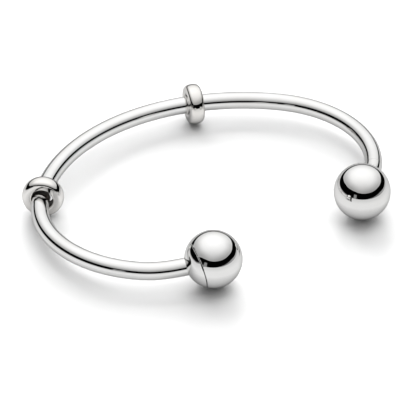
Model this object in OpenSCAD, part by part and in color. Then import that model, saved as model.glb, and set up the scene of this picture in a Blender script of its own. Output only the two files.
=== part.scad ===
// Open bangle of round silver wire with two ball ends and two stopper rings.
// It lies as it rests on a table: Z is up, the opening faces -Y, and the long way is X.

/* [Wire] */
// Diameter of the round wire
wire_d = 3.0; // [2.6:0.1:3.6]
// Radius of the flat arc across the back, measured to the middle of the wire
back_r = 34.5; // [31:0.5:38]
// Angle from the middle of the back to each end of that arc
back_turn = 49.5; // [44:0.5:54]
// Radius of the arcs round the two sides
side_r = 19.3; // [17:0.1:22]
// Angle of each side arc
side_turn = 85; // [78:0.5:90]
// Radius of the tighter bends before the ball ends
end_r = 12; // [8:0.5:20]
// Angle of the bend before the left ball, which reaches a little further round
end_turn_left = 15.5; // [2:0.5:24]
// Angle of the bend before the right ball
end_turn_right = 8; // [2:0.5:24]
// Radius of the upward bend that carries each ball end at its own height
lift_r = 25; // [15:1:40]

/* [Ball ends] */
// Diameter of each ball end
ball_d = 9.6; // [8.8:0.1:11]
// Distance from the middle of a ball to its seam, on the wire's side
seam_offset = 2.8; // [2.2:0.1:3.2]
// Width of the seam between the collar and the screwed cap
seam_gap = 0.12; // [0.04:0.02:0.2]
// Depth of the small V groove that runs round the ball at the seam
seam_depth = 0.2; // [0.1:0.05:0.3]
// Inward turn of each ball's axis from the end of the wire
ball_yaw = 11; // [0:1:14]
// Depth of collar that the bent wire runs into, short of the seam
wire_seat = 0.6; // [0.4:0.1:0.9]
// Diameter of the post that the cap screws on to
post_d = 2.0; // [1.4:0.1:2.4]
// Length of the post beyond the collar
post_len = 4.0; // [2:0.1:5]
// Gap all round the post inside the cap
post_gap = 0.05; // [0.02:0.01:0.1]
// Space left between the post's tip and the bottom of its hole
post_tip_gap = 0.3; // [0.1:0.1:0.6]

/* [Stopper rings] */
// Outer diameter of a stopper ring
stopper_d = 7.1; // [6.9:0.1:8.2]
// Width of a stopper ring along the wire
stopper_w = 2.7; // [2.2:0.1:3]
// Gap between the wire and the mouth of a stopper ring's hole
mouth_gap = 0.32; // [0.3:0.01:0.45]
// Rounding of the hole's edge
mouth_round = 0.4; // [0.2:0.05:0.4]
// Rounding of the outer edges
edge_round = 0.8; // [0.4:0.05:0.9]
// Radius of the crown across the outside
crown_r = 2.5; // [1.8:0.1:6]
// Radius of the dome of each face
face_r = 1.8; // [1.4:0.1:3]
// Distance from the hole to the highest point of that arc
face_crest = 0.7; // [0.5:0.05:0.9]
// Gap between the wire and the dark grip lining in the hole
grip_gap = 0.28; // [0.2:0.01:0.28]
// Thickness of the grip lining
grip_t = 0.4; // [0.3:0.05:0.6]
// Width of silver beside the grip lining, at each end of the hole
grip_land = 0.5; // [0.5:0.05:0.7]
// Gap between the grip lining and the groove that it sits in
grip_seat_gap = 0.03; // [0.02:0.01:0.06]
// Smallest gap between the wire and the lining that it lies against
rest_gap = 0.03; // [0.02:0.01:0.06]
// Side of the lining that the wire lies against, as an angle outward from straight down
rest_angle = 61; // [0:1:70]
// Place of the left stopper, as an angle from the middle of the back
left_stopper_at = 45.5; // [36:0.5:47]
// Place of the back stopper, as an angle from the middle of the back
back_stopper_at = 24; // [12:0.5:30]

/* [Hidden] */
$fn = 96;

wire_r = wire_d / 2;
ball_r = ball_d / 2;

// A stopper stands on the table, and the wire lies low in its lining and against the outer side.
play = grip_gap - rest_gap;
wire_z = stopper_d / 2 - play * cos(rest_angle);
stopper_path_r = back_r - play * sin(rest_angle);

// The inward normal and the direction of travel for a heading turned clockwise from +X
function inward(h) = [-sin(h), -cos(h)];
function travel(h) = [cos(h), -sin(h)];

// The right half of the wire's middle line, from the middle of the back to a ball
back_c = [0, -back_r];
back_p = back_c - back_r * inward(back_turn);
side_c = back_p + side_r * inward(back_turn);
side_h = back_turn + side_turn;
side_p = side_c - side_r * inward(side_h);
end_c = side_p + end_r * inward(side_h);
function end_p(end_turn) = end_c - end_r * inward(side_h + end_turn);

// The upward bend is as long as it takes to bring the ball down on the table
seat_x = seam_offset + wire_seat;
rise = ball_r - wire_z;
lift_turn = acos((lift_r - rise) / norm([lift_r, seat_x])) - atan2(seat_x, lift_r);
function lift_p(end_turn) = end_p(end_turn) + lift_r * sin(lift_turn) * travel(side_h + end_turn);
function ball_p(end_turn) = lift_p(end_turn) + seat_x * cos(lift_turn) * travel(side_h + end_turn);

// A stopper's half outline: the hole's edge, then the middles of the crown's arc and of a face's arc
stopper_r = stopper_d / 2;
hole_r = wire_r + mouth_gap;
crown_c = [stopper_r - crown_r, 0];
face_c = [hole_r + face_crest, stopper_w / 2 - face_r];

// The rounding of the hole's edge lies inside the face's arc and touches it
mouth_in = face_r - mouth_round;
mouth_z = face_c[1] + sqrt(pow(mouth_in, 2) - pow(face_crest - mouth_round, 2));
mouth_c = [hole_r + mouth_round, mouth_z];
from_face = (mouth_c - face_c) / mouth_in;

// The rounding between the two lies inside both arcs and touches them
crown_in = crown_r - edge_round;
face_in = face_r - edge_round;
apart = norm(face_c - crown_c);
aside = [crown_c[1] - face_c[1], face_c[0] - crown_c[0]] / apart;
along = (pow(crown_in, 2) - pow(face_in, 2) + pow(apart, 2)) / (2 * apart);
edge_c = crown_c + along * (face_c - crown_c) / apart + sqrt(pow(crown_in, 2) - pow(along, 2)) * aside;
to_crown = (edge_c - crown_c) / crown_in;
to_face = (edge_c - face_c) / face_in;

// How far back a stopper reaches in plan
function stopper_y(a) =
    back_c[1] + (stopper_path_r + edge_c[0]) * cos(a) + edge_c[1] * sin(a) + edge_round;

// The origin is the middle of the bangle's box, on the table
box_top = max(wire_r, stopper_y(left_stopper_at), stopper_y(back_stopper_at));
box_bottom = min(ball_p(end_turn_left)[1], ball_p(end_turn_right)[1]) - ball_r;
origin_y = (box_top + box_bottom) / 2;

grip_in_r = wire_r + grip_gap;
grip_out_r = grip_in_r + grip_t;
grip_w = stopper_w - 2 * grip_land;
cut = 0.1;

// The sleeves between bends are too slight to see; they let the bends merge into one solid
join_len = 0.2;
join_extra = 0.01;

module silver() color([0.82, 0.82, 0.81]) children();
module dark_grip() color([0.13, 0.1, 0.08]) children();
module in_frame() translate([0, -origin_y, 0]) children();

// One flat arc of the wire: middle c, radius r, first heading h, angle t, a hair short at both ends
module wire_arc(c, r, h, t) {
    short = asin(join_len / 4 / r);
    translate([c[0], c[1], wire_z])
        rotate([0, 0, 90 - h - t + short])
            rotate_extrude(angle = t - 2 * short)
                translate([r, 0])
                    circle(d = wire_d);
}

// A short sleeve where one bend runs on into the next, a hair thicker than the wire
module join(p, h) {
    translate([p[0], p[1], wire_z])
        rotate([0, 0, -h])
            rotate([0, 90, 0])
                cylinder(r = wire_r + join_extra, h = join_len, center = true);
}

// The bend that rises to a ball, from the end of the flat wire
module lift_arc(end_turn) {
    p = end_p(end_turn);
    short = asin(join_len / 4 / lift_r);
    translate([p[0], p[1], wire_z])
        rotate([0, 0, -side_h - end_turn])
            translate([0, 0, lift_r])
                rotate([90, 0, 0])
                    rotate([0, 0, short - 90])
                        rotate_extrude(angle = lift_turn - short)
                            translate([lift_r, 0])
                                circle(d = wire_d);
}

// Places its children at the middle of a ball, with X out of the wire's end along the ball's axis
module at_ball(end_turn) {
    p = ball_p(end_turn);
    translate([p[0], p[1], ball_r])
        rotate([0, 0, -side_h - end_turn - ball_yaw])
            rotate([0, -lift_turn, 0])
                children();
}

// The groove at the seam, as a small diamond on the ball's half outline
module seam_groove() {
    translate([sqrt(pow(ball_r, 2) - pow(seam_offset, 2)), seam_gap / 2 - seam_offset])
        rotate(45)
            square(sqrt(2) * seam_depth, center = true);
}

// The part of a ball that is soldered to the wire, with the post for the cap
module collar_and_post() {
    rotate([0, 90, 0]) {
        rotate_extrude()
            difference() {
                intersection() {
                    circle(d = ball_d);
                    translate([0, -ball_d - seam_offset])
                        square([ball_d, ball_d]);
                }
                seam_groove();
            }
        translate([0, 0, -seat_x])
            cylinder(d = post_d, h = wire_seat + post_len);
    }
}

// From the end of the back arc to a ball
module side_wire(end_turn) {
    join(back_p, back_turn);
    wire_arc(side_c, side_r, back_turn, side_turn);
    join(side_p, side_h);
    wire_arc(end_c, end_r, side_h, end_turn);
    join(end_p(end_turn), side_h + end_turn);
    lift_arc(end_turn);
    at_ball(end_turn)
        collar_and_post();
}

module bangle_wire() {
    silver()
        in_frame() {
            wire_arc(back_c, back_r, -back_turn, 2 * back_turn);
            side_wire(end_turn_right);
            mirror([1, 0, 0])
                side_wire(end_turn_left);
        }
}

// The rest of the ball, with a blind hole for the post
module ball_cap(end_turn) {
    silver()
        at_ball(end_turn)
            rotate([0, 90, 0])
                rotate_extrude()
                    difference() {
                        intersection() {
                            circle(d = ball_d);
                            translate([0, seam_gap - seam_offset])
                                square([ball_d, 2 * ball_d]);
                        }
                        seam_groove();
                        translate([-cut, -seam_offset - cut])
                            square([cut + post_d / 2 + post_gap, cut + post_len + post_tip_gap]);
                    }
}

module ball_cap_right() {
    in_frame()
        ball_cap(end_turn_right);
}

module ball_cap_left() {
    in_frame()
        mirror([1, 0, 0])
            ball_cap(end_turn_left);
}

// Half outline of a stopper: a crown, rounded outer edges, domed faces and a rounded hole
// The sharp corner that a rounding takes off, between the directions of the two points where it touches
module corner(c, r, first, second) {
    translate(c)
        polygon(2 * r * [[0, 0], first, first + second, second]);
}

module stopper_outline() {
    difference() {
        intersection() {
            translate([hole_r, -stopper_w / 2])
                square([stopper_r, stopper_w]);
            translate(crown_c)
                circle(r = crown_r);
            translate(face_c)
                circle(r = face_r);
            mirror([0, 1])
                translate(face_c)
                    circle(r = face_r);
        }
        for (side = [0, 1])
            mirror([0, side]) {
                corner(edge_c, edge_round, to_crown, to_face);
                corner(mouth_c, mouth_round, from_face, [-1, 0]);
            }
    }
    for (side = [0, 1])
        mirror([0, side]) {
            intersection() {
                translate(edge_c)
                    circle(r = edge_round);
                translate([mouth_c[0], 0])
                    square([stopper_r, stopper_w]);
            }
            translate(mouth_c)
                circle(r = mouth_round);
        }
}

module at_stopper(a) {
    translate([stopper_path_r * sin(a), back_c[1] + stopper_path_r * cos(a), stopper_d / 2])
        rotate([0, 0, -a])
            rotate([0, 90, 0])
                children();
}

module stopper_ring(a) {
    silver()
        in_frame()
            at_stopper(a)
                rotate_extrude()
                    difference() {
                        stopper_outline();
                        translate([0, -grip_w / 2 - grip_seat_gap])
                            square([grip_out_r + grip_seat_gap, grip_w + 2 * grip_seat_gap]);
                    }
}

module stopper_grip(a) {
    dark_grip()
        in_frame()
            at_stopper(a)
                rotate_extrude()
                    translate([grip_in_r, -grip_w / 2])
                        square([grip_t, grip_w]);
}

module stopper_ring_left() stopper_ring(-left_stopper_at);
module stopper_ring_back() stopper_ring(back_stopper_at);
module stopper_grip_left() stopper_grip(-left_stopper_at);
module stopper_grip_back() stopper_grip(back_stopper_at);

bangle_wire();
ball_cap_left();
ball_cap_right();
stopper_ring_left();
stopper_ring_back();
stopper_grip_left();
stopper_grip_back();
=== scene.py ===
import math

import bpy
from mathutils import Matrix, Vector


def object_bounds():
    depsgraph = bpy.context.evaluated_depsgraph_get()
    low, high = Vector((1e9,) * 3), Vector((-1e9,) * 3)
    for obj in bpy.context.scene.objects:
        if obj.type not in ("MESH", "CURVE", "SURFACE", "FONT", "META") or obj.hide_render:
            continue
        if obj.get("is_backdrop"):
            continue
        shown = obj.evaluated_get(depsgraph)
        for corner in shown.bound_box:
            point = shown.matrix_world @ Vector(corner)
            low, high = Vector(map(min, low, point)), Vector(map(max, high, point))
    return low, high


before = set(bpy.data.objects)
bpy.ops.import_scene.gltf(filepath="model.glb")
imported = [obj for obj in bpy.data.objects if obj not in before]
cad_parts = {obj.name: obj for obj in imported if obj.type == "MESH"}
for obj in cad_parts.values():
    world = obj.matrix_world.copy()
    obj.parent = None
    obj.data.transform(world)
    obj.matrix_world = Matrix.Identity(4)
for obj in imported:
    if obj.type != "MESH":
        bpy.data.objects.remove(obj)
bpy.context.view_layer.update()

MM = 0.001

# The camera stands in front of the left ball and looks down at the middle of the bangle.
CAMERA_AT = (-286.75 * MM, -355.331 * MM, 298.70 * MM)
CAMERA_AIM = (-1.704 * MM, -2.616 * MM, 0.0)
SENSOR = 36.0
PHOTO_SIDE = 416
FOCAL_PIXELS = 3200.0
CLIP = (0.01, 20.0)

# The camera's heading, as unit vectors on the table
AWAY = (0.6286, 0.7777)
RIGHT = (0.7777, -0.6286)


def node(tree, kind, **values):
    """New node; a name such as in_2 sets the value of that input, and any other name a setting of the node"""
    made = tree.nodes.new(kind)
    for key, value in values.items():
        if key.startswith("in_"):
            made.inputs[int(key[3:])].default_value = value
        else:
            setattr(made, key, value)
    return made


def math_node(tree, operation, a, b=None):
    """Sum, product and the like of two numbers or sockets"""
    made = node(tree, "ShaderNodeMath", operation=operation)
    for i, value in enumerate((a, b)):
        if value is None:
            continue
        if isinstance(value, (int, float)):
            made.inputs[i].default_value = value
        else:
            tree.links.new(value, made.inputs[i])
    return made.outputs[0]


def ramp(tree, source, low, high, to_low, to_high):
    """Smooth step of a socket's value from one level to another"""
    made = node(tree, "ShaderNodeMapRange", interpolation_type="SMOOTHSTEP", clamp=True)
    tree.links.new(source, made.inputs[0])
    for i, value in enumerate((low, high, to_low, to_high)):
        made.inputs[i + 1].default_value = value
    return made.outputs[0]


def bump(tree, height, strength, depth):
    """Normal from a height pattern, with its depth in metres"""
    made = node(tree, "ShaderNodeBump")
    made.inputs["Strength"].default_value = strength
    made.inputs["Distance"].default_value = depth
    tree.links.new(height, made.inputs["Height"])
    return made.outputs["Normal"]


def colours(tree, source, low, low_colour, high, high_colour):
    """Colour ramp of two stops"""
    made = node(tree, "ShaderNodeValToRGB")
    for stop, place, colour in zip(made.color_ramp.elements, (low, high), (low_colour, high_colour)):
        stop.position = place
        stop.color = (*colour, 1)
    tree.links.new(source, made.inputs["Fac"])
    return made.outputs["Color"]


def direction(azimuth, elevation):
    """Unit vector at an azimuth, 0 straight away from the camera and positive to its right."""
    ahead, aside = math.cos(math.radians(azimuth)), math.sin(math.radians(azimuth))
    level = math.cos(math.radians(elevation))
    return Vector(
        (
            (AWAY[0] * ahead + RIGHT[0] * aside) * level,
            (AWAY[1] * ahead + RIGHT[1] * aside) * level,
            math.sin(math.radians(elevation)),
        )
    )


# Studio as the metal sees it: a light tent whose top leans away from the camera, over a dark opening.
# The opening's rows hold azimuth, lower edge, upper edge and the shade just above it; angles are in degrees.
TENT_TOP = direction(0, 65)
TENT_EDGE, TENT_FALL = 0.40, 0.98
TENT_STRENGTH = 0.82
# Brighter hem of the tent, along the top of the opening
HEM_GLOW, HEM_HEIGHT = 0.12, 4.0
# What little light comes out of the opening
OPENING_GLOW = 0.001
OPENING = (
    (-180, 0.0, 24.5, 0.00),
    (-160, 0.0, 26.0, 0.04),
    (-145, 0.0, 28.0, 0.20),
    (-120, 3.0, 27.5, 0.40),
    (-85, 3.0, 25.0, 0.42),
    (-60, 1.5, 19.0, 0.40),
    (-45, 0.5, 14.0, 0.30),
    (-30, 0.0, 12.0, 0.10),
    (0, 0.0, 8.0, 0.00),
    (20, 0.0, 8.0, 0.00),
    (34, 0.0, 12.0, 0.00),
    (45, 1.0, 16.0, 0.10),
    (62, 4.0, 21.0, 0.25),
    (105, 7.0, 25.0, 0.34),
    (140, 3.0, 24.0, 0.26),
    (180, 0.0, 24.5, 0.00),
)
# Height over which the shade above the opening fades, in degrees
SHADE_FADE = 34.0
EDGE_SOFTNESS = 0.5
# A pale card that stands in the opening, left of the camera
CARD_FROM, CARD_TO, CARD_TOP, CARD_SOFTNESS, CARD_GLOW = -155, -144, 16, 1.5, 0.30
# The tent's cloth is a trace warmer than the lamps
TENT_COLOUR = (1.0, 1.0, 0.998, 1.0)

world = bpy.data.worlds.new("studio")
bpy.context.scene.world = world
world.use_nodes = True
tree = world.node_tree
tree.nodes.clear()
coords = node(tree, "ShaderNodeTexCoord")
split = node(tree, "ShaderNodeSeparateXYZ")
tree.links.new(coords.outputs["Generated"], split.inputs[0])
dir_x, dir_y, dir_z = split.outputs
away, right = (
    math_node(
        tree,
        "ADD",
        math_node(tree, "MULTIPLY", dir_x, heading[0]),
        math_node(tree, "MULTIPLY", dir_y, heading[1]),
    )
    for heading in (AWAY, RIGHT)
)
azimuth = math_node(tree, "MULTIPLY", math_node(tree, "ARCTAN2", right, away), 180 / math.pi)
elevation = math_node(tree, "MULTIPLY", math_node(tree, "ARCSINE", dir_z), 180 / math.pi)

# A ramp round the horizon holds the opening's rows, with both edges as shares of a right angle.
RIGHT_ANGLE = 90.0
around = node(tree, "ShaderNodeMapRange", in_1=-180.0, in_2=180.0, in_3=0.0, in_4=1.0)
tree.links.new(azimuth, around.inputs[0])
opening = node(tree, "ShaderNodeValToRGB")
tree.links.new(around.outputs[0], opening.inputs[0])
stops = opening.color_ramp.elements
while len(stops) < len(OPENING):
    stops.new(0.5)
for stop, (turn, low, top, shade) in zip(stops, OPENING):
    stop.position = (turn + 180) / 360
    stop.color = (low / RIGHT_ANGLE, top / RIGHT_ANGLE, shade, 1)
edges = node(tree, "ShaderNodeSeparateColor")
tree.links.new(opening.outputs[0], edges.inputs[0])
above_low, above_top = (
    math_node(tree, "SUBTRACT", elevation, math_node(tree, "MULTIPLY", edge, RIGHT_ANGLE))
    for edge in edges.outputs[:2]
)
in_opening = math_node(
    tree,
    "MULTIPLY",
    ramp(tree, above_low, -EDGE_SOFTNESS, EDGE_SOFTNESS, 0.0, 1.0),
    ramp(tree, above_top, -EDGE_SOFTNESS, EDGE_SOFTNESS, 1.0, 0.0),
)

lean = node(tree, "ShaderNodeVectorMath", operation="DOT_PRODUCT")
tree.links.new(coords.outputs["Generated"], lean.inputs[0])
lean.inputs[1].default_value = TENT_TOP
tent = math_node(tree, "ADD", math_node(tree, "MULTIPLY", lean.outputs["Value"], TENT_FALL), TENT_EDGE)
faded = math_node(tree, "MULTIPLY", edges.outputs[2], ramp(tree, above_top, 0.0, SHADE_FADE, 1.0, 0.0))
tent = math_node(tree, "MULTIPLY", tent, math_node(tree, "SUBTRACT", 1.0, faded))
hem = ramp(tree, above_top, 0.0, HEM_HEIGHT, HEM_GLOW, 0.0)
cloth = node(tree, "ShaderNodeMix", data_type="FLOAT", in_3=OPENING_GLOW)
tree.links.new(in_opening, cloth.inputs[0])
tree.links.new(math_node(tree, "ADD", tent, hem), cloth.inputs[2])
in_card = math_node(
    tree,
    "MULTIPLY",
    math_node(
        tree,
        "MULTIPLY",
        ramp(tree, azimuth, CARD_FROM - CARD_SOFTNESS, CARD_FROM + CARD_SOFTNESS, 0.0, 1.0),
        ramp(tree, azimuth, CARD_TO - CARD_SOFTNESS, CARD_TO + CARD_SOFTNESS, 1.0, 0.0),
    ),
    ramp(tree, elevation, CARD_TOP - CARD_SOFTNESS, CARD_TOP + CARD_SOFTNESS, 1.0, 0.0),
)
glow = math_node(tree, "MAXIMUM", cloth.outputs[0], math_node(tree, "MULTIPLY", in_card, CARD_GLOW))

warm = node(tree, "ShaderNodeMix", data_type="RGBA", blend_type="MULTIPLY", in_0=1.0, in_6=TENT_COLOUR)
tree.links.new(glow, warm.inputs[7])
tent_light = node(tree, "ShaderNodeBackground")
tree.links.new(warm.outputs[2], tent_light.inputs[0])
tent_light.inputs["Strength"].default_value = TENT_STRENGTH
backdrop = node(tree, "ShaderNodeBackground", in_0=(1.0, 1.0, 1.0, 1.0), in_1=1.0)
path = node(tree, "ShaderNodeLightPath")
pick = node(tree, "ShaderNodeMixShader")
tree.links.new(path.outputs["Is Camera Ray"], pick.inputs[0])
tree.links.new(tent_light.outputs[0], pick.inputs[1])
tree.links.new(backdrop.outputs[0], pick.inputs[2])
out = node(tree, "ShaderNodeOutputWorld")
tree.links.new(pick.outputs[0], out.inputs[0])
world.cycles_visibility.diffuse = False

# Soft lamps that light the floor, which the metal doesn't mirror: azimuth, elevation and width in degrees as
# seen from the bangle, and share of the light that makes the floor white
LAMPS = (
    ("top", 0, 88, 38, 0.157),
    ("high_back", 0, 65, 29, 0.050),
    ("high_right", 60, 65, 29, 0.100),
    ("high_front_right", 120, 65, 29, 0.070),
    ("high_front", 180, 65, 29, 0.018),
    ("back_far_left", -50, 42, 21, 0.049),
    ("back_left", -25, 42, 21, 0.111),
    ("back", 0, 42, 21, 0.088),
    ("back_right", 25, 42, 21, 0.058),
    ("back_far_right", 50, 42, 21, 0.033),
    ("front_right", 135, 42, 44, 0.013),
    ("front_left", -135, 42, 44, 0.012),
    ("mid_far_left", -50, 24, 21, 0.019),
    ("mid_left", -25, 24, 21, 0.085),
    ("mid_back", 0, 24, 21, 0.152),
    ("mid_right", 25, 24, 21, 0.059),
    ("mid_far_right", 50, 24, 21, 0.046),
    ("side_right", 90, 20, 40, 0.050),
    ("side_left", -90, 20, 40, 0.067),
    ("low_left", -20, 9, 15, 0.053),
    ("low_back", 0, 9, 15, 0.048),
    ("low_right", 20, 9, 15, 0.020),
)
LAMP_DISTANCE = 3.0
FLOOR_ALBEDO = 0.3
for name, turn, height, width, share in LAMPS:
    spread = math.radians(width / 2)
    lamp_data = bpy.data.lights.new(name, "AREA")
    lamp_data.shape = "DISK"
    lamp_data.size = 2 * LAMP_DISTANCE * math.tan(spread)
    # A disc lamp's power, from the light that it sheds on the floor at this distance and slant
    slant = math.sin(math.radians(height)) * math.cos(spread) ** 2
    lamp_data.energy = share * math.pi**2 / FLOOR_ALBEDO * LAMP_DISTANCE**2 / slant
    lamp = bpy.data.objects.new(name, lamp_data)
    bpy.context.collection.objects.link(lamp)
    lamp.location = direction(turn, height) * LAMP_DISTANCE
    lamp.rotation_euler = (-direction(turn, height)).to_track_quat("-Z", "Y").to_euler()
    lamp.visible_glossy = False
    lamp.visible_camera = False

# Floor. What the metal mirrors of it is a glow, not lamp light, with painted shade: the glow darkens with how
# closed in the floor is, as under even light from all round, so its shadows stay close to the bangle.
MIRRORED_FLOOR_GLOW = 0.82
SHADE_REACH, SHADE_POWER = 6 * MM, 1.1
# Share of the mirrored floor's glow that is left where it is seen edge-on, a painted sheen, and where that loss
# begins
SHEEN_LEFT, SHEEN_START = 0.82, 0.6
REACH = 2.0
floor_mesh = bpy.data.meshes.new("floor")
floor_mesh.from_pydata(
    [(-REACH, -REACH, 0), (REACH, -REACH, 0), (REACH, REACH, 0), (-REACH, REACH, 0)], [], [(0, 1, 2, 3)]
)
floor = bpy.data.objects.new("floor", floor_mesh)
bpy.context.collection.objects.link(floor)
floor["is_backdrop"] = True
floor_mat = bpy.data.materials.new("floor")
floor_mat.use_nodes = True
floor_shader = floor_mat.node_tree.nodes["Principled BSDF"]
floor_shader.inputs["Base Color"].default_value = (FLOOR_ALBEDO, FLOOR_ALBEDO, FLOOR_ALBEDO, 1)
floor_shader.inputs["Roughness"].default_value = 0.9
floor_shader.inputs["Specular IOR Level"].default_value = 0.0
tree = floor_mat.node_tree
# Painted contact shade: ambient occlusion darkens the mirrored floor's glow near the bangle
openness = node(tree, "ShaderNodeAmbientOcclusion", samples=8)
openness.inputs["Distance"].default_value = SHADE_REACH
grazing = node(tree, "ShaderNodeLayerWeight")
# Painted sheen: the mirrored floor's glow darkens where it is seen edge-on
painted_sheen_loss = ramp(tree, grazing.outputs["Facing"], SHEEN_START, 1.0, 1.0, SHEEN_LEFT)
# The floor glows for the metal's mirrored rays, though it is no lamp
mirrored = node(tree, "ShaderNodeEmission")
painted_contact_shade = math_node(tree, "POWER", openness.outputs["AO"], SHADE_POWER)
tree.links.new(math_node(tree, "MULTIPLY", painted_contact_shade, painted_sheen_loss), mirrored.inputs["Color"])
mirrored.inputs["Strength"].default_value = MIRRORED_FLOOR_GLOW
path = node(tree, "ShaderNodeLightPath")
seen = node(tree, "ShaderNodeMixShader")
tree.links.new(path.outputs["Is Glossy Ray"], seen.inputs[0])
tree.links.new(floor_shader.outputs[0], seen.inputs[1])
tree.links.new(mirrored.outputs[0], seen.inputs[2])
tree.links.new(seen.outputs[0], tree.nodes["Material Output"].inputs["Surface"])
floor_mat.cycles.emission_sampling = "NONE"
floor_mesh.materials.append(floor_mat)


def noise_at(tree, coords, scale, detail, stretch=(1.0, 1.0, 1.0)):
    """3-D noise fixed to the object, with a scale in cells per metre"""
    mapping = node(tree, "ShaderNodeMapping")
    mapping.inputs["Scale"].default_value = stretch
    tree.links.new(coords.outputs["Object"], mapping.inputs["Vector"])
    noise = node(tree, "ShaderNodeTexNoise", noise_dimensions="3D")
    noise.inputs["Scale"].default_value = scale
    noise.inputs["Detail"].default_value = detail
    tree.links.new(mapping.outputs["Vector"], noise.inputs["Vector"])
    return noise.outputs[0]


# Depths of the bump of the polishing lines and of the rubber's grain
LINE_DEPTH, GRAIN_DEPTH = 0.001 * MM, 0.02 * MM


def silver_material(name, dull, bright):
    """Polished silver: a mirror with hazy patches and fine polishing lines, its colour wandering between two"""
    mat = bpy.data.materials.new(name)
    mat.use_nodes = True
    tree = mat.node_tree
    shader = tree.nodes["Principled BSDF"]
    shader.inputs["Metallic"].default_value = 1.0
    shader.inputs["Specular Tint"].default_value = (0.7, 0.7, 0.7, 1)
    coords = node(tree, "ShaderNodeTexCoord")
    patches = noise_at(tree, coords, scale=140.0, detail=3.0)
    lines = noise_at(tree, coords, scale=1500.0, detail=4.0, stretch=(1.0, 0.35, 2.6))
    tree.links.new(colours(tree, patches, 0.35, dull, 0.65, bright), shader.inputs["Base Color"])
    haze = ramp(tree, patches, 0.3, 0.7, 0.012, 0.03)
    scratches = ramp(tree, lines, 0.5, 0.75, 0.0, 0.03)
    tree.links.new(math_node(tree, "ADD", haze, scratches), shader.inputs["Roughness"])
    tree.links.new(bump(tree, lines, strength=0.4, depth=LINE_DEPTH), shader.inputs["Normal"])
    return mat


def grip_material(name):
    """Dark brown rubber, matt, with a fine grain and a little dust"""
    mat = bpy.data.materials.new(name)
    mat.use_nodes = True
    tree = mat.node_tree
    shader = tree.nodes["Principled BSDF"]
    coords = node(tree, "ShaderNodeTexCoord")
    mottle = noise_at(tree, coords, scale=900.0, detail=3.0)
    grain = noise_at(tree, coords, scale=7000.0, detail=4.0)
    tone = colours(tree, mottle, 0.3, (0.010, 0.007, 0.005), 0.75, (0.034, 0.025, 0.019))
    tree.links.new(tone, shader.inputs["Base Color"])
    tree.links.new(ramp(tree, grain, 0.3, 0.7, 0.5, 0.72), shader.inputs["Roughness"])
    tree.links.new(bump(tree, grain, strength=0.5, depth=GRAIN_DEPTH), shader.inputs["Normal"])
    return mat


# Silver's own reflectance, a little warmer on the rings
silver = silver_material("polished_silver", (0.905, 0.9, 0.888), (0.95, 0.949, 0.945))
ring_silver = silver_material("handled_silver", (0.91, 0.886, 0.852), (0.945, 0.932, 0.912))
grip = grip_material("grip_rubber")
for name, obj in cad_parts.items():
    mat = grip if "grip" in name else ring_silver if "ring" in name else silver
    obj.data.materials.clear()
    obj.data.materials.append(mat)

camera_data = bpy.data.cameras.new("camera")
camera_data.sensor_width = SENSOR
camera_data.lens = FOCAL_PIXELS / PHOTO_SIDE * SENSOR
camera = bpy.data.objects.new("camera", camera_data)
bpy.context.collection.objects.link(camera)
camera.location = CAMERA_AT
camera.rotation_euler = (Vector(CAMERA_AIM) - Vector(CAMERA_AT)).to_track_quat("-Z", "Y").to_euler()
camera_data.clip_start, camera_data.clip_end = CLIP
bpy.context.scene.camera = camera
bpy.context.scene.view_settings.view_transform = "Standard"

low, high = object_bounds()
